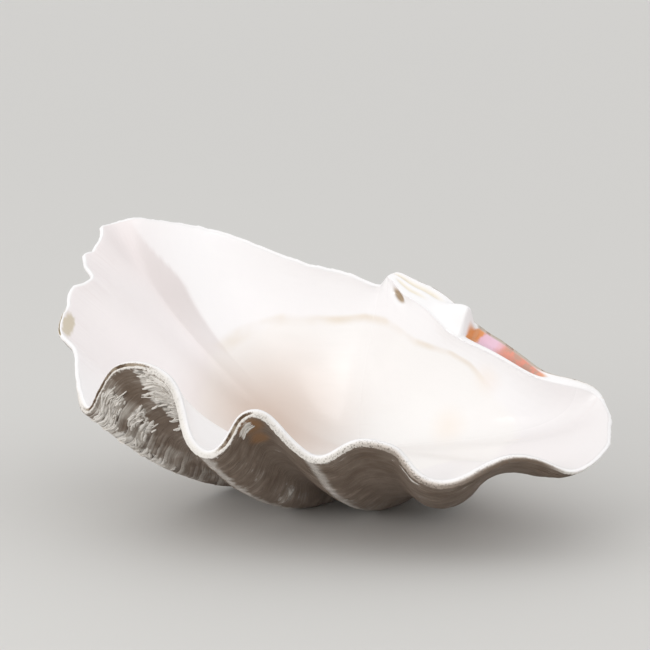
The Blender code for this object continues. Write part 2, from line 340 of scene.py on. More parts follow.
def hollowed(loop):
    """The loop with the little hollow under the beak pressed in, and the hollow's share."""
    aside = np.stack([loop[:, 0] - HOLE[0], HOLE[1] - loop[:, 2]], axis=1)
    cosine, sine = math.cos(HOLE_SLANT), math.sin(HOLE_SLANT)
    slant = np.array([[cosine, sine], [-sine, cosine]])
    share = np.exp(-np.sum((aside @ slant.T / HOLE_REACH) ** 2, axis=1)) * (out < PLATE_OUT)
    return loop + np.array(HOLE_PRESS) * (HOLE_DEPTH * share)[:, None], share


calm = smooth_mean(inner, MEAN_WAVES)
broad = smooth_mean(inner, BROAD_WAVES)
wave, corners = broad - calm, inner - broad
calm_down, calm_inward = rim_directions(calm)
floor_middle = np.array(FLOOR) * (1, -1, 1)
breadth = np.linalg.norm((calm - floor_middle)[:, :2], axis=1, keepdims=True)
wall = calm + calm_inward * breadth * WALL_REACH
calm_wall = smooth_mean(wall, WALL_WAVES)
level = smooth_mean(inner, FLOOR_WAVES) - floor_middle
level[:, 2] = level[:, 0] * FLOOR_RISE[0] - level[:, 1] * FLOOR_RISE[1]
flat = floor_middle + level * FLOOR_REACH
scar_depth = round_rim(SCAR)
for depth in DEEPEST * (np.arange(DEPTH_ROWS + 1) / DEPTH_ROWS) ** DEPTH_CROWD:
    rest = 1 - depth
    calmed = wall + (calm_wall - wall) * ease(depth / WALL_DEPTH)
    bowl = rest ** 3 * calm + 3 * rest ** 2 * depth * calmed
    bowl += 3 * rest * depth ** 2 * flat + depth ** 3 * floor_middle
    height = rest ** FADE * ease((SMOOTH_TO - depth) / (SMOOTH_TO - SMOOTH_FROM))
    bowl += spin(wave + corners * ease(1 - depth / CORNER_DEPTH), turn(1 - FADE_TURN * depth)) * height
    beyond = run - CREASE_RUN - CREASE_DRIFT * ease(depth / CREASE_LEVEL)
    crease = np.where(beyond < 0, np.exp(beyond / CREASE_NEAR), np.exp(-beyond / CREASE_FAR))
    bowl += calm_down * (crease * CREASE_DEPTH * bump(depth, 0, CREASE_END))[:, None]
    channel = relief(beyond, depth, CHANNEL_SHADE)
    bowl, hole = hollowed(bowl) if depth < HOLE_UNTIL else (bowl, 0.0)
    marks = dict(frayed=frayed * ease(1 - depth / 0.03), hole=hole, scar=depth - scar_depth, channel=channel)
    add_row(bowl, across=1 + depth, **marks)

points = np.concatenate([row["points"] for row in rows] + [np.zeros((1, 3)), floor_middle[None, :]])
beak_tip, floor_tip = len(points) - 2, len(points) - 1
quads = []
for row in range(len(rows) - 1):
    first = row * COLUMNS
    for column in range(COLUMNS):
        following = (column + 1) % COLUMNS
        below = first + COLUMNS
        quads.append((first + column, below + column, below + following, first + following))
last = (len(rows) - 1) * COLUMNS
for column in range(COLUMNS):
    following = (column + 1) % COLUMNS
    quads.append((beak_tip, column, following))
    quads.append((floor_tip, last + following, last + column))


def new_piece(name, points, faces):
    """A piece in the scene, as a mesh of these points and faces."""
    mesh = bpy.data.meshes.new(name)
    mesh.from_pydata(np.asarray(points).tolist(), [], faces)
    piece = bpy.data.objects.new(name, mesh)
    bpy.context.collection.objects.link(piece)
    return piece


def carry(piece, name, values):
    """Let every point of the piece's mesh carry a number, or a vector."""
    values = np.asarray(values, np.float32)
    kind, field = ("FLOAT", "value") if values.ndim == 1 else ("FLOAT_VECTOR", "vector")
    attribute = piece.data.attributes.new(name, kind, "POINT")
    attribute.data.foreach_set(field, values.ravel())


shell = new_piece("giant_clam_shell", points, quads)
AT_BEAK_AND_FLOOR = dict(size=(0, 1), across=(0, 2), scar=(-1, 0.5))
for name in rows[0]:
    if name != "points":
        at_tips = AT_BEAK_AND_FLOOR.get(name, (0, 0))
        carry(shell, name, np.concatenate([row[name] for row in rows] + [at_tips]))
hollows = ease((fold - HOLLOW_FROM) / HOLLOW_EASE)
flaky = round_rim(FLAKY) * (1 - HOLLOW_CALM * hollows) * ease((out - HINGE_FROM) / HINGE_EASE)
by_column = dict(spoke=outer, belly=belly, fold=fold, hinge=1 - edge_share, speckle=round_rim(SPECKLE))
by_column.update(flaky=flaky, run=run, along=along)
for name, values in by_column.items():
    tiled = np.concatenate([values[picked]] * len(rows) + [np.zeros((2, *values.shape[1:]))])
    carry(shell, name, tiled)


class Wire:
    """A socket of a node tree. Arithmetic on it adds Math or Vector Math nodes to the tree."""

    def __init__(self, tree, socket):
        self.tree = tree
        self.socket = socket

    def maths(self, operation, first, second):
        wires = [side for side in (first, second) if isinstance(side, Wire)]
        plain = all(wire.socket.type not in ("VECTOR", "RGBA") for wire in wires)
        if plain and not isinstance(first, tuple) and not isinstance(second, tuple):
            return add(self.tree, "ShaderNodeMath", {"operation": operation}, {0: first, 1: second})
        if operation == "MULTIPLY" and (is_number(first) or is_number(second)):
            vector, factor = (first, second) if is_number(second) else (second, first)
            sides = {0: vector, "Scale": factor}
            return add(self.tree, "ShaderNodeVectorMath", {"operation": "SCALE"}, sides)
        return add(self.tree, "ShaderNodeVectorMath", {"operation": operation}, {0: first, 1: second})

    def __add__(self, other):
        return self.maths("ADD", self, other)

    def __radd__(self, other):
        return self.maths("ADD", other, self)

    def __sub__(self, other):
        return self.maths("SUBTRACT", self, other)

    def __rsub__(self, other):
        return self.maths("SUBTRACT", other, self)

    def __mul__(self, other):
        return self.maths("MULTIPLY", self, other)

    def __rmul__(self, other):
        return self.maths("MULTIPLY", other, self)

    def __pow__(self, other):
        return self.maths("POWER", self, other)


def is_number(side):
    return side.socket.type == "VALUE" if isinstance(side, Wire) else not isinstance(side, tuple)


def add(tree, kind, settings=None, inputs=None, output=0):
    """One node: its settings, then the values or wires of its sockets. The wire is of one output."""
    node = tree.nodes.new(kind)
    for name, value in (settings or {}).items():
        setattr(node, name, value)
    for name, value in (inputs or {}).items():
        if isinstance(value, Wire):
            tree.links.new(value.socket, node.inputs[name])
        else:
            node.inputs[name].default_value = value
    return Wire(tree, node.outputs[output])


def rise(value, start, end):
    """Nothing below start, one above end, eased between."""
    limits = {"Value": value, "From Min": start, "From Max": end}
    return add(value.tree, "ShaderNodeMapRange", {"interpolation_type": "SMOOTHSTEP"}, limits)


def noise(place, grain, detail=2.0, shift=None):
    """Noise with lumps about as broad as the grain, from nothing to one, moved on by the shift."""
    inputs = {"Vector": place * (1 / grain), "Scale": 1.0, "Detail": detail}
    if shift is None:
        return add(place.tree, "ShaderNodeTexNoise", {"noise_dimensions": "3D"}, inputs)
    inputs["W"] = shift
    return add(place.tree, "ShaderNodeTexNoise", {"noise_dimensions": "4D"}, inputs)


def of_length_one(vector):
    return add(vector.tree, "ShaderNodeVectorMath", {"operation": "NORMALIZE"}, {0: vector})


def named(tree, name, kind="FLOAT"):
    return add(tree, "GeometryNodeInputNamedAttribute", {"data_type": kind}, {"Name": name})


def new_tree(name, comes_in, goes_out, kind):
    """A geometry tree with one thing going in and one coming out, of the same kind."""
    tree = bpy.data.node_groups.new(name, "GeometryNodeTree")
    tree.interface.new_socket(comes_in, in_out="INPUT", socket_type=kind)
    tree.interface.new_socket(goes_out, in_out="OUTPUT", socket_type=kind)
    tree.nodes.new("NodeGroupInput").name = "given"
    tree.nodes.new("NodeGroupOutput").name = "result"
    return tree


def setting(tree, name, value, kind="NodeSocketFloat"):
    """A named input of the tree, as a wire."""
    tree.interface.new_socket(name, in_out="INPUT", socket_type=kind).default_value = value
    return Wire(tree, tree.nodes["given"].outputs[name])


def hand_out(wire, name):
    wire.tree.links.new(wire.socket, wire.tree.nodes["result"].inputs[name])


def move(geometry, inputs):
    return add(geometry.tree, "GeometryNodeSetPosition", {}, {"Geometry": geometry, **inputs})


placing = new_tree("where a point was at a size", "Start", "Place", "NodeSocketVector")
start = Wire(placing, placing.nodes["given"].outputs["Start"])
belly_given = setting(placing, "Belly", (0, 0, 0), "NodeSocketVector")
size_given = setting(placing, "Size", 1.0)
turns = [setting(placing, name + " Turn", value) for name, value in zip(("First", "Second", "Third"), TURN)]
lost = 1 - size_given
angle = lost * turns[0] + lost * lost * turns[1] + lost ** 3.0 * turns[2]
share = (size_given - BELLY_SIZES[0]) * (math.pi / (BELLY_SIZES[1] - BELLY_SIZES[0]))
half_round = add(placing, "ShaderNodeClamp", {}, {"Value": share, "Min": 0.0, "Max": math.pi})
hump = add(placing, "ShaderNodeMath", {"operation": "SINE"}, {0: half_round}) ** 2.0
swollen = start * size_given + belly_given * hump
turned = {"Vector": swollen, "Angle": angle}
hand_out(add(placing, "ShaderNodeVectorRotate", {"rotation_type": "X_AXIS"}, turned), "Place")


def grown(start, size):
    """Where a point of the net was when the shell had this size."""
    inputs = {"Start": start, "Belly": named(start.tree, "belly", "FLOAT_VECTOR"), "Size": size}
    return add(start.tree, "GeometryNodeGroup", {"node_tree": placing}, inputs)


rest_turn = [math.radians(angle) for angle in REST_TURN]
rim_rows = [row["points"] for row in rows if row["size"][0] == 1 and row["across"][0] <= 1]
rim_laid = np.concatenate(rim_rows) @ np.array(Euler(rest_turn, "XYZ").to_matrix()).T
cad_low, cad_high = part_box("shell")
rim_low, rim_high = rim_laid.min(axis=0), rim_laid.max(axis=0)
rim_top = rim_high[2] - CORNER_RAISED
shift = (cad_high.x / MM - rim_high[0], cad_low.y / MM - rim_low[1], cad_high.z / MM - rim_top)

laying = new_tree("laid on the ground", "Grown", "Laid", "NodeSocketGeometry")
laying_turn = setting(laying, "Turn", rest_turn, "NodeSocketVector")
laying_shift = setting(laying, "Shift", shift, "NodeSocketVector")
grown_in = Wire(laying, laying.nodes["given"].outputs["Grown"])
laid = add(laying, "GeometryNodeTransform", {}, {"Geometry": grown_in, "Rotation": laying_turn})
lowered = add(laying, "GeometryNodeTransform", {}, {"Geometry": laid, "Translation": laying_shift})
scaled = add(laying, "GeometryNodeTransform", {}, {"Geometry": lowered, "Scale": (MM, MM, MM)})
where = add(laying, "GeometryNodeInputPosition")
parts = [add(laying, "ShaderNodeSeparateXYZ", {}, {"Vector": where}, output=axis) for axis in "XYZ"]
above = add(laying, "ShaderNodeMath", {"operation": "MAXIMUM"}, {0: parts[2], 1: 0.0})
rested = add(laying, "ShaderNodeCombineXYZ", {}, {"X": parts[0], "Y": parts[1], "Z": above})
hand_out(move(scaled, {"Position": rested}), "Laid")


def dress(geometry, material):
    """Lay the grown net on the ground, as one real mesh of one material."""
    down_there = add(geometry.tree, "GeometryNodeGroup", {"node_tree": laying}, {"Grown": geometry})
    real = add(geometry.tree, "GeometryNodeRealizeInstances", {}, {"Geometry": down_there})
    inputs = {"Geometry": real, "Material": material}
    hand_out(add(geometry.tree, "GeometryNodeSetMaterial", {}, inputs), "Mesh")


def grow(piece, tree):
    """Run the tree on the piece's net and keep the result as its plain mesh."""
    modifier = piece.modifiers.new(tree.name, "NODES")
    modifier.node_group = tree
    for item in tree.interface.items_tree:
        if item.in_out == "INPUT" and item.name != "Net":
            modifier[item.identifier] = item.default_value
    piece.data = bpy.data.meshes.new_from_object(piece.evaluated_get(bpy.context.evaluated_depsgraph_get()))
    piece.modifiers.remove(modifier)
    piece.data.shade_smooth()


growth = new_tree("growth of the shell", "Net", "Mesh", "NodeSocketGeometry")
wander = setting(growth, "Sheet Wander", 0.03)
lip = setting(growth, "Sheet Lip", 1.8)
undercut = setting(growth, "Sheet Undercut", 2.4)
ragged = setting(growth, "Sheet Raggedness", 3.0)
chalk_lumps = setting(growth, "Chalk Lumps", 1.5)
porcelain_waves = setting(growth, "Porcelain Waves", 0.7)
broken_relief = setting(growth, "Broken Relief", 2.2)
nibbles = setting(growth, "Margin Nibbles", 2.0)
edge_wear = setting(growth, "Edge Wear", 1.8)

spoke = named(growth, "spoke", "FLOAT_VECTOR")
sheet_number = named(growth, "sheet")
size = named(growth, "size")
across_mark = named(growth, "across")
outside = 1 - rise(across_mark, 0.0, 0.05)
net_in = Wire(growth, growth.nodes["given"].outputs["Net"])
keep = add(growth, "GeometryNodeStoreNamedAttribute", {"data_type": "FLOAT_VECTOR"},
           {"Geometry": net_in, "Name": "base", "Value": add(growth, "GeometryNodeInputPosition")})
base = named(growth, "base", "FLOAT_VECTOR")
strayed = (noise(spoke, 45.0, 2.0, sheet_number * 0.21) - 0.5) * wander
young = add(growth, "ShaderNodeMath", {"operation": "MULTIPLY", "use_clamp": True}, {0: 1 - size, 1: 14.0})
wandered = size + strayed * young * outside
net_grown = move(keep, {"Position": grown(base, wandered)})

normal = add(growth, "GeometryNodeInputNormal")
onward = of_length_one(grown(base, wandered + A_LITTLE) - grown(base, wandered))
torn = rise(noise(spoke, 17.0, 3.0, sheet_number * 0.8), 0.34, 0.74)
strength = torn * named(growth, "flaky") * rise(size, 0.1, 0.6)
ragged_edge = (noise(spoke, 4.0, 2.0, sheet_number * 3.1) - 0.5) * ragged
lift = named(growth, "lift") * lip * strength
pull = (named(growth, "tuck") * undercut * strength) - named(growth, "lift") * ragged_edge * strength
place_now = add(growth, "GeometryNodeInputPosition")
lumps = (noise(place_now, 14.0, 4.0) - 0.5) * chalk_lumps * outside * rise(size, 0.02, 0.3)
lumps = lumps + (noise(spoke, 5.0, 2.0, size * 140.0) - 0.5) * broken_relief * named(growth, "broken")
waves = (noise(place_now, 34.0, 1.0) - 0.5) * porcelain_waves * rise(across_mark, 1.0, 1.1)
net_sheeted = move(net_grown, {"Offset": normal * (lift + lumps + waves) - onward * pull})

near_edge = rise(across_mark + (size - 1) * 10.0, -0.12, 0.1)
edge_mask = near_edge * (1 - rise(across_mark, 0.75, 1.02)) * (1 - named(growth, "hinge"))
pitted = named(growth, "speckle") * 0.7 + 0.5
worn = (noise(place_now, 3.4, 3.0) - 0.55) * edge_wear * edge_mask * pitted
nibbled = noise(spoke, 5.5, 2.0) - 0.58 + (noise(spoke, 15.0, 1.0) - 0.5) * 1.3
nibbled = nibbled * nibbles * named(growth, "frayed")
net_worn = move(net_sheeted, {"Offset": normal * worn + onward * nibbled})
chalk_and_porcelain = bpy.data.materials.new("chalk and porcelain")
dress(net_worn, chalk_and_porcelain)
grow(shell, growth)
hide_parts("shell")
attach(shell, "root")

# Chalk and porcelain, the finish of the shell.
# Outside it is dry, grey-brown, stained chalk that is white where sheets have broken off; inside it
# is white porcelain with a faint scar line, and the ligament has left its orange and lilac gloss.
chalk_and_porcelain.use_nodes = True
finish = chalk_and_porcelain.node_tree
surface = finish.nodes["Principled BSDF"]


def carried(tree, name, output="Fac"):
    """A number or a vector that the net carries, as a wire."""
    return add(tree, "ShaderNodeAttribute", {"attribute_name": name}, output=output)


def mix(first, second, share):
    """The second colour over the first, by its share."""
    return add(share.tree, "ShaderNodeMix", {"data_type": "RGBA"}, {0: share, 6: first, 7: second}, output=2)


def between(value, start, full, fading, end):
    """One from full to fading, nothing before start and after end, eased between."""
    return rise(value, start, full) * (1 - rise(value, fading, end))


def blot(place, centre, radius):
    """One at the centre, nothing beyond the radius, eased between."""
    ends = {0: place, 1: centre}
    away = add(place.tree, "ShaderNodeVectorMath", {"operation": "DISTANCE"}, ends, output="Value")
    return 1 - rise(away, 0.0, radius)


def feed(surface, name, wire):
    wire.tree.links.new(wire.socket, surface.inputs[name])


DARK_TAUPE = (0.135, 0.094, 0.066, 1)
TAUPE = (0.225, 0.175, 0.138, 1)
DUSTY = (0.33, 0.262, 0.22, 1)
PALE_CHALK = (0.60, 0.56, 0.51, 1)
WHITE_CHALK = (0.82, 0.785, 0.74, 1)
CREVICE_SHADE = (0.06, 0.042, 0.03, 1)
RUST = (0.30, 0.15, 0.06, 1)
SOOT = (0.17, 0.145, 0.12, 1)
SEAM_BROWN = (0.11, 0.065, 0.035, 1)
SEAM_TAN = (0.46, 0.385, 0.25, 1)
LOBE_SHADOW_TAN = (0.60, 0.52, 0.38, 1)
PORCELAIN = (0.905, 0.89, 0.892, 1)
PINKISH = (0.74, 0.685, 0.675, 1)
CREAM = (0.89, 0.868, 0.835, 1)
SCAR_TAN = (0.76, 0.66, 0.52, 1)
SHADOW_AND_MARGIN_TAN = (0.60, 0.46, 0.375, 1)
ROSE = (0.88, 0.785, 0.78, 1)
APRICOT = (0.88, 0.70, 0.54, 1)
ORANGE = (0.76, 0.33, 0.12, 1)
LILAC = (0.80, 0.56, 0.68, 1)
SALMON = (0.76, 0.31, 0.22, 1)
LIP_BROWN = (0.42, 0.35, 0.27, 1)
GROOVE_YELLOW = (0.80, 0.70, 0.50, 1)
HOLE_SHADE_TAN = (0.42, 0.31, 0.20, 1)
CRESTS = ((289.0, 5.0), (387.0, 3.0))  # painted highlights along the crests of ribs C and D: millimetres along the rim, breadth
FRONT_FLOOR = (-45.0, 62.0, 55.0)   # middle of the painted shadow that the front rim casts on the floor
REAR_FLOOR, UNDER_PIT = (88.0, 15.0, 58.0), (116.0, 6.0, 96.0)  # middles of the apricot patches
CUPPED_LOBE, LOBE_SQUEEZE = (-189.0, 14.0, 134.0), (0.14, 0.03, 0.07)  # middle, one over the reach of the painted shadow in the cupped lobe
FOLD_STAIN, FOLD_STAIN_LOW = (-53.0, -112.0, 90.0), (-47.0, -100.0, 77.0)
HIGH_FOLD_STAIN = (-118.0, -68.0, 78.0)

# Zones along the rim or the hinge: where they start, are full, fade and end, or start and are full.
DUSTED = (415.0, 500.0)             # rib D's far side and on
BARE_FRONT, BARE_REAR = (545.0, 575.0), (70.0, 115.0)  # the margin's edge is porcelain after and before
TAN_MARGIN = (92.0, 118.0, 225.0, 270.0)
BROWN_MARGIN = (92.0, 118.0, 150.0, 212.0)
TAN_SEAM = (590.0, 600.0)
STREAKED = (530.0, 600.0, 730.0, 790.0)
LEFT_SIDE = (540.0, 620.0, 760.0, 820.0)
SCAR_RUN = (780.0, 830.0, 1080.0, 1130.0)
SCAR_LINE = (-0.022, 0.002, 0.004, 0.045)  # depth from the line itself
REAR_END = (95.0, 180.0)            # from here on along the hinge
PLATE_BROWN = (30.0, 42.0)
PIT_LIP = (38.0, 44.0, 122.0, 134.0)
LILAC_FROM, SALMON_FROM, BROWN_FROM = (47.0, 51.0), (62.0, 74.0), (66.0, 80.0)  # along the ligament
ORANGE_FROM, LIP_FROM = (106.0, 114.0), (117.0, 123.0)

place = add(finish, "ShaderNodeTexCoord", output="Object") * (1 / MM)
spoke_place = carried(finish, "spoke", "Vector")
marks = {name: carried(finish, name) for name in (
    "across", "size", "fold", "flaky", "lift", "tuck", "broken", "seam", "pit", "groove", "hole", "scar",
    "channel", "speckle", "run", "along", "hinge")}
inside = rise(marks["across"], 0.88, 1.0)
edge_waver = (noise(place, 2.4, 2.0) - 0.5) * 0.26 * (1 - marks["hinge"])
edge = rise(marks["across"] + (marks["size"] - 1) * 7.0 + edge_waver, -0.02, 0.06)

cloud = noise(place, 22.0, 4.0)
sheets = noise(spoke_place, 12.0, 2.0, marks["size"] * 55.0)
fine_sheets = noise(spoke_place, 26.0, 2.0, marks["size"] * 330.0)
grit = noise(place, 0.9, 2.0)
crest = 1 - rise(marks["fold"], -5.0, 7.0)
chalk = mix(DARK_TAUPE, TAUPE, rise(cloud * 0.45 + sheets * 0.35 + fine_sheets * 0.3, 0.38, 0.72))
proud = marks["lift"] * marks["flaky"]
# Partly painted light: through the crest mark the ribs are paler than the overhung hollows, which lie in
# shade; the rest follows noise, size and zone.
rubbed_and_lit = crest * 0.24 + (cloud - 0.5) * 1.3 + (fine_sheets - 0.5) * 0.7 + proud * 0.5
rubbed_and_lit = rubbed_and_lit + (1 - rise(marks["size"], 0.15, 0.6)) * 0.25 + (1 - rise(marks["size"], 0.55, 0.9)) * 0.2
rubbed_and_lit = rubbed_and_lit + rise(marks["run"], *DUSTED) * rise(marks["size"], 0.66, 0.93) * 0.44
chalk = mix(chalk, DUSTY, (1 - rise(marks["size"], 0.62, 0.96)) * 0.5)
chalk = mix(chalk, PALE_CHALK, rise(rubbed_and_lit, 0.35, 1.15))
# The crest share in this whitening is painted light as well.
whitened = proud * 1.2 + crest * 0.3 + (grit - 0.5) * 0.5
chalk = mix(chalk, WHITE_CHALK, rise(whitened, 0.62, 1.1))
# Painted highlight: thin white lines along the crests of ribs C and D, where the light from the left catches
# them.
crest_highlight = 0.0
for crest_run, breadth in CRESTS:
    aside = add(finish, "ShaderNodeMath", {"operation": "ABSOLUTE"}, {0: marks["run"] - crest_run})
    crest_highlight = (1 - rise(aside + (noise(place, 5.0, 3.0) - 0.5) * 5.0, 0.3, breadth)) + crest_highlight
chalk = mix(chalk, WHITE_CHALK, crest_highlight * rise(marks["size"], 0.3, 0.7) * (grit * 0.7 + 0.15))
stains = blot(place, FOLD_STAIN, 17.0) + blot(place, FOLD_STAIN_LOW, 12.0)
stains = stains + blot(place, HIGH_FOLD_STAIN, 14.0)
chalk = mix(chalk, RUST, rise(stains * (cloud * 0.7 + 0.65), 0.1, 0.9) * 0.7)
shreds = noise(spoke_place, 7.0, 3.0, marks["size"] * 150.0)
bare = rise(marks["broken"] + (shreds - 0.5) * 1.6 + (cloud - 0.5) * 2.2, 0.42, 0.8)
chalk = mix(chalk, mix(PALE_CHALK, WHITE_CHALK, rise(shreds, 0.4, 0.6)), bare * 0.92)
cracks = noise(spoke_place, 9.0, 2.0, marks["size"] * 210.0)
# Painted shade: dark cracks across the bare zones, where shade falls between broken sheets.
chalk = mix(chalk, CREVICE_SHADE, rise(cracks, 0.58, 0.68) * bare * 0.7)
hinge_side = mix(PALE_CHALK, LIP_BROWN, rise(marks["along"], *PLATE_BROWN))
chalk = mix(chalk, hinge_side, marks["hinge"] * rise(marks["size"], 0.9, 0.99))
# Painted shade: dark under the lifted lips of the sheets.
chalk = mix(chalk, CREVICE_SHADE, rise(marks["tuck"] * marks["flaky"], 0.05, 0.6) * 0.75)

outerness = 1 - rise(marks["across"], 0.15, 0.85)
pit_groups = noise(place, 7.0, 2.0) + outerness * 0.25
pits = rise(noise(place, 1.25, 2.0), 0.53, 0.62) * rise(pit_groups, 0.42, 0.6)
edge_colour = mix(WHITE_CHALK, PALE_CHALK, outerness * marks["speckle"] * 0.8)
bare_margin = rise(marks["run"], *BARE_FRONT) + (1 - rise(marks["run"], *BARE_REAR))
edge_colour = mix(edge_colour, PORCELAIN, rise(marks["across"] + bare_margin * 0.5, 0.35, 0.9))
tan_margin = between(marks["run"], *TAN_MARGIN)
edge_colour = mix(edge_colour, SHADOW_AND_MARGIN_TAN, tan_margin * rise(outerness, 0.1, 0.7) * 0.28)
edge_border = rise(outerness + (grit - 0.5) * 0.3, 0.72, 1.0)
edge_colour = mix(edge_colour, SEAM_BROWN, tan_margin * edge_border * 0.5)
brown_margin = between(marks["run"], *BROWN_MARGIN) * rise(outerness + (grit - 0.5) * 0.5, 0.2, 0.85)
edge_colour = mix(edge_colour, SEAM_BROWN, brown_margin * 0.8)
edge_colour = mix(edge_colour, SOOT, pits * marks["speckle"] * (outerness * 0.75 + 0.15))
seam_colour = mix(SEAM_BROWN, LIP_BROWN, rise(noise(place, 6.0, 3.0), 0.38, 0.62) * 0.8)
seam_colour = mix(seam_colour, SEAM_TAN, rise(marks["run"], *TAN_SEAM))
edge_colour = mix(edge_colour, seam_colour, rise(marks["seam"] + (grit - 0.5) * 0.5, 0.06, 0.4))

streaked = between(marks["run"], *STREAKED) * 0.8 + 0.2
streaks = noise(spoke_place, 3.2, 2.0) * (1 - rise(marks["across"], 1.05, 1.22)) * streaked
bowl_colour = mix(PORCELAIN, PINKISH, rise(streaks, 0.45, 0.8) * 0.35)
# Painted shade: the band before the crease is greyed pink, standing in for the side that faces away from the
# lamp.
bowl_colour = mix(bowl_colour, PINKISH, marks["channel"] * 0.95)
bowl_colour = mix(bowl_colour, PINKISH, rise(marks["along"], *REAR_END) * 0.5)
bowl_colour = mix(bowl_colour, ROSE, between(marks["run"], *LEFT_SIDE) * 0.4)
bowl_colour = mix(bowl_colour, CREAM, rise(marks["scar"], -0.01, 0.05) * 0.55)
scar_line = between(marks["scar"], *SCAR_LINE) * between(marks["run"], *SCAR_RUN)
scar_line = scar_line * rise(noise(place, 30.0, 2.0), 0.2, 0.7)
bowl_colour = mix(bowl_colour, SCAR_TAN, scar_line * 0.65)
# Painted shadow: the floor behind the front rim is turned tan where the rim shades it.
bowl_colour = mix(bowl_colour, SHADOW_AND_MARGIN_TAN, blot(place, FRONT_FLOOR, 88.0) * 0.85)
warmed = blot(place, REAR_FLOOR, 21.0) * 0.25 + blot(place, UNDER_PIT, 17.0) * 0.22
bowl_colour = mix(bowl_colour, APRICOT, warmed)

strands = noise(place, 5.0, 3.0)
reached = marks["along"] + (strands - 0.5) * 8.0 + marks["across"] * 6.0
ligament = mix(ORANGE, LILAC, rise(reached, *LILAC_FROM))
ligament = mix(ligament, SALMON, rise(reached, *SALMON_FROM))
brown_strands = rise(strands - marks["across"] * 0.5, 0.25, 0.5) * rise(reached, *BROWN_FROM)
ligament = mix(ligament, LIP_BROWN, brown_strands * 0.6)
orange_side = rise(marks["across"] + strands * 0.2, 0.72, 0.85) * 0.5
ligament = mix(ligament, ORANGE, rise(marks["along"], *ORANGE_FROM) * 0.8 + orange_side)
ligament = mix(ligament, LIP_BROWN, rise(marks["along"], *LIP_FROM))
ligament_mask = rise(marks["pit"], 0.1, 0.3)
pit_lip = between(marks["along"], *PIT_LIP) * marks["hinge"]
plate_colour = mix(PORCELAIN, LIP_BROWN, pit_lip * (1 - rise(marks["across"], 0.03, 0.09)))
plate_colour = mix(plate_colour, GROOVE_YELLOW, marks["groove"] * 0.65)
plate_colour = mix(plate_colour, ligament, ligament_mask)

colour = mix(chalk, edge_colour, edge)
colour = mix(colour, plate_colour, edge * rise(marks["hinge"], 0.25, 0.9))
colour = mix(colour, bowl_colour, inside)
# Painted shadow: a tan patch in the cupped lobe, where the curled sheet shades the inner rim.
lobe_middle = tuple(at * squeeze for at, squeeze in zip(CUPPED_LOBE, LOBE_SQUEEZE))
lobe = blot(place * LOBE_SQUEEZE, lobe_middle, 1.0) + (noise(place, 4.0, 2.0) - 0.5) * 0.6
colour = mix(colour, LOBE_SHADOW_TAN, rise(lobe, 0.2, 0.65) * inside * 0.85)
# Painted shade in the little hollow under the beak.
colour = mix(colour, HOLE_SHADE_TAN, rise(marks["hole"], 0.25, 0.75))
feed(surface, "Base Color", colour)
smoothness = inside * 0.5 + edge * marks["hinge"] * 0.4 + ligament_mask * edge * 0.2
feed(surface, "Roughness", 0.88 - smoothness)
feed(surface, "Coat Weight", ligament_mask * edge * 0.9 + inside * 0.15)
surface.inputs["Coat Roughness"].default_value = 0.12
rough_height = grit * 0.22 + fine_sheets * 0.9 + noise(place, 2.6, 3.0) * 0.35
smooth_height = noise(spoke_place, 60.0, 1.0, marks["across"] * 26.0) * 0.35 + streaks * 0.3
smooth_height = smooth_height - rise(marks["scar"], -0.01, 0.02) * 0.25
height = rough_height * (1 - inside) * (1 - marks["hinge"] * edge * 0.8) + smooth_height * inside
bumped = add(finish, "ShaderNodeBump", {}, {"Strength": 0.7, "Distance": MM, "Height": height})
feed(surface, "Normal", bumped)

# Torn sheets.
# Where the rim has been knocked, the outside's growth sheets stand up as thin, white, broken flakes.
# Each is a thin closed wedge along the growth line it broke at, set on the shell by its size.
TORN = (                            # along the rim, sizes, number, half length, width, lift
    dict(run=(430, 472), size=(0.93, 0.996), count=120, half=6.5, width=1.7, lift=1.4),
    dict(run=(448, 480), size=(0.85, 0.950), count=60, half=6.5, width=1.7, lift=1.4),
    dict(run=(500, 534), size=(0.95, 0.994), count=44, half=7.5, width=1.8, lift=1.4),
    dict(run=(492, 518), size=(0.88, 0.930), count=26, half=7.5, width=1.9, lift=1.5),
    dict(run=(528, 562), size=(0.80, 0.985), count=52, half=6.0, width=1.8, lift=1.0),
    dict(run=(562, 600), size=(0.84, 0.985), count=24, half=6.0, width=1.8, lift=1.0),
    dict(run=(350, 366), size=(0.965, 0.990), count=6, half=6.0, width=1.5, lift=0.9),
)
SECTION = ((-1.3, -0.7), (-0.5, 0.45), (0.55, 1.0), (0.85, 0.72), (0.1, -0.7))  # forward, up
SECTION_TIP = (0.0, 0.2, 1.0, 1.0, 0.0)  # how much each of them belongs to the torn tip
LENGTH_SPREAD, WIDTH_SPREAD, LIFT_SPREAD = (0.35, 1.3), (0.6, 1.4), (0.5, 1.5)  # shares of a zone's value
NEWEST_CROWD = 1.3                  # power by which the flakes crowd towards the newest size
MOST_SLOPE = 0.004                  # growth by which a flake leaves its growth line
BLUNT = 0.4                         # power that makes a flake's ends blunt
SUNK_TIPS, SUNK_ENDS = 0.5, 0.35    # how deep they go into the shell
FEWEST_PLACES = 5                   # places of the rim that a flake needs
chance = np.random.default_rng(11)
flake_points = dict(base=[], tangent=[], belly=[], size=[], fore=[], rise=[], flake=[], tip=[])
flake_faces = []
rim_tangents = tangents(line)
number = 0


def add_flake_point(spot, size, fore=0.0, up=-SUNK_TIPS, tip=0.0):
    """A point of the flake at a place of the rim, or one of its two sunken tips."""
    point = dict(base=outer[spot], tangent=rim_tangents[spot], belly=belly[spot], size=size)
    point.update(fore=fore, rise=up, flake=number, tip=tip)
    for name, value in point.items():
        flake_points[name].append(value)


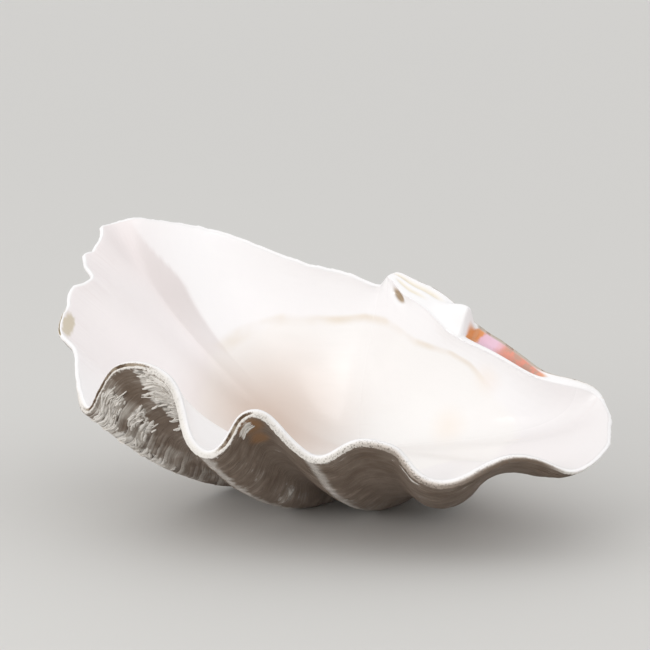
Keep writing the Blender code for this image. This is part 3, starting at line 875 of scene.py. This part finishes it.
for zone in TORN:
    for _ in range(zone["count"]):
        middle = chance.uniform(*zone["run"])
        half = zone["half"] * chance.uniform(*LENGTH_SPREAD)
        oldest, newest = zone["size"]
        flake_size = newest - (newest - oldest) * chance.random() ** NEWEST_CROWD
        width = zone["width"] * chance.uniform(*WIDTH_SPREAD)
        up = zone["lift"] * chance.uniform(*LIFT_SPREAD)
        slope = chance.uniform(-MOST_SLOPE, MOST_SLOPE)
        places = np.nonzero(abs(run - middle) < half)[0]
        if len(places) < FEWEST_PLACES:
            continue
        number += 1
        first = len(flake_points["size"])
        add_flake_point(places[0], flake_size)
        for spot in places[1:-1]:
            share = (run[spot] - middle) / half
            body = (1 - share * share) ** BLUNT
            for (fore, high), tip in zip(SECTION, SECTION_TIP):
                raised = high * up * body - SUNK_ENDS * (1 - body)
                add_flake_point(spot, flake_size + slope * share, fore * width * body, raised, tip)
        add_flake_point(places[-1], flake_size)
        sides = len(SECTION)
        rings = len(places) - 2
        for side in range(sides):
            following = (side + 1) % sides
            flake_faces.append((first, first + 1 + side, first + 1 + following))
            for ring in range(rings - 1):
                low = first + 1 + ring * sides
                onto = low + sides
                flake_faces.append((low + side, onto + side, onto + following, low + following))
            low = first + 1 + (rings - 1) * sides
            flake_faces.append((low + side, first + 1 + rings * sides, low + following))
flakes = new_piece("torn_sheets", flake_points["base"], flake_faces)
for name, values in flake_points.items():
    if name != "base":
        carry(flakes, name, values)

tearing = new_tree("torn sheets", "Net", "Mesh", "NodeSocketGeometry")
flake_wander = setting(tearing, "Line Wander", 0.05)
flake_ragged = setting(tearing, "Ragged Tip", 2.2)
flake_waved = setting(tearing, "Waved Tip", 1.2)
flake_base = add(tearing, "GeometryNodeInputPosition")
flakes_in = Wire(tearing, tearing.nodes["given"].outputs["Net"])
kept_base = add(tearing, "GeometryNodeStoreNamedAttribute", {"data_type": "FLOAT_VECTOR"},
                {"Geometry": flakes_in, "Name": "spoke", "Value": flake_base})
flake_spoke = named(tearing, "spoke", "FLOAT_VECTOR")
flake_id = named(tearing, "flake")
flake_size = named(tearing, "size") + (noise(flake_spoke, 34.0, 1.0) - 0.5) * flake_wander
seat = grown(flake_spoke, flake_size)
growing = of_length_one(grown(flake_spoke, flake_size + A_LITTLE) - seat)
sideways = of_length_one(grown(flake_spoke + named(tearing, "tangent", "FLOAT_VECTOR"), flake_size) - seat)
upwards = add(tearing, "ShaderNodeVectorMath", {"operation": "CROSS_PRODUCT"}, {0: growing, 1: sideways})
raggedness = (noise(flake_spoke, 1.7, 2.0, flake_id * 1.9) - 0.5) * flake_ragged * named(tearing, "tip")
waving = (noise(flake_spoke, 4.0, 1.0, flake_id * 2.3) - 0.5) * flake_waved * named(tearing, "tip")
fore = named(tearing, "fore") + raggedness
up = named(tearing, "rise") * (noise(flake_spoke, 7.0, 1.0, flake_id * 1.3) * 1.6 + 0.2) + waving
torn_net = move(kept_base, {"Position": seat + growing * fore + upwards * up})
torn_chalk = bpy.data.materials.new("torn chalk")
dress(torn_net, torn_chalk)
grow(flakes, tearing)
facing = bmesh.new()
facing.from_mesh(flakes.data)
bmesh.ops.recalc_face_normals(facing, faces=facing.faces)
facing.to_mesh(flakes.data)
facing.free()
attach(flakes, "root")

torn_chalk.use_nodes = True
torn_finish = torn_chalk.node_tree
torn_surface = torn_finish.nodes["Principled BSDF"]
torn_place = add(torn_finish, "ShaderNodeTexCoord", output="Object") * (1 / MM)
torn_grit = noise(torn_place, 1.0, 2.0)
torn_cloud = noise(torn_place, 16.0, 3.0)
torn_bare = carried(torn_finish, "tip") * 0.55 + (torn_cloud - 0.5) * 1.2 + torn_grit * 0.4
torn_colour = mix(TAUPE, PALE_CHALK, rise(torn_bare, 0.05, 0.45))
torn_colour = mix(torn_colour, WHITE_CHALK, rise(torn_bare, 0.4, 0.8))
feed(torn_surface, "Base Color", torn_colour)
feed(torn_surface, "Roughness", 0.78 + torn_grit * 0.2)
torn_relief = {"Strength": 0.6, "Distance": MM, "Height": torn_grit * 0.3}
feed(torn_surface, "Normal", add(torn_finish, "ShaderNodeBump", {}, torn_relief))

# Floor.
# A plain pale floor to stand on, which isn't part of the object.
FLOOR_HALF = 14.0                   # metres
FLOOR_GREY = (0.60, 0.59, 0.57, 1)
corners = [(x * FLOOR_HALF, y * FLOOR_HALF, 0) for x, y in ((-1, -1), (1, -1), (1, 1), (-1, 1))]
floor_object = new_piece("floor", corners, [(0, 1, 2, 3)])
floor_material = bpy.data.materials.new("pale floor")
floor_material.use_nodes = True
floor_surface = floor_material.node_tree.nodes["Principled BSDF"]
floor_surface.inputs["Base Color"].default_value = FLOOR_GREY
floor_surface.inputs["Roughness"].default_value = 0.7
floor_object.data.materials.append(floor_material)

# Light.
# A soft lamp on the left in front, and an evenly white room.
LAMP_PLACE, LAMP_AIM = (-1.40, -1.40, 0.85), (0, 0, 0.1)  # metres
LAMP_BREADTH, LAMP_POWER = 0.7, 10.0  # metres, watts
world = bpy.data.worlds.new("room")
bpy.context.scene.world = world
world.use_nodes = True
world.node_tree.nodes["Background"].inputs["Color"].default_value = (1.0, 1.0, 1.0, 1)
world.node_tree.nodes["Background"].inputs["Strength"].default_value = 1.0
light = bpy.data.lights.new("key lamp", "AREA")
light.size = LAMP_BREADTH
light.energy = LAMP_POWER
lamp = bpy.data.objects.new("key lamp", light)
lamp.location = LAMP_PLACE
lamp.rotation_euler = (Vector(LAMP_AIM) - Vector(LAMP_PLACE)).to_track_quat("-Z", "Y").to_euler()
bpy.context.collection.objects.link(lamp)

# Camera.
# It looks a little down at the shell from the front, with the frame of the photograph.
PHOTO_SIDE = 650                    # pixels
FOCAL_LENGTH = 2208                 # pixels
LOOK_DOWN = 11.0                    # degrees
CAMERA_PLACE = (-0.0025, -1.561, 0.440)  # metres
camera_data = bpy.data.cameras.new("camera")
camera_data.angle = 2 * math.atan(PHOTO_SIDE / 2 / FOCAL_LENGTH)
camera = bpy.data.objects.new("camera", camera_data)
camera.location = CAMERA_PLACE
camera.rotation_euler = (math.radians(90 - LOOK_DOWN), 0, 0)
bpy.context.collection.objects.link(camera)
bpy.context.scene.camera = camera
bpy.context.scene.view_settings.view_transform = "Standard"
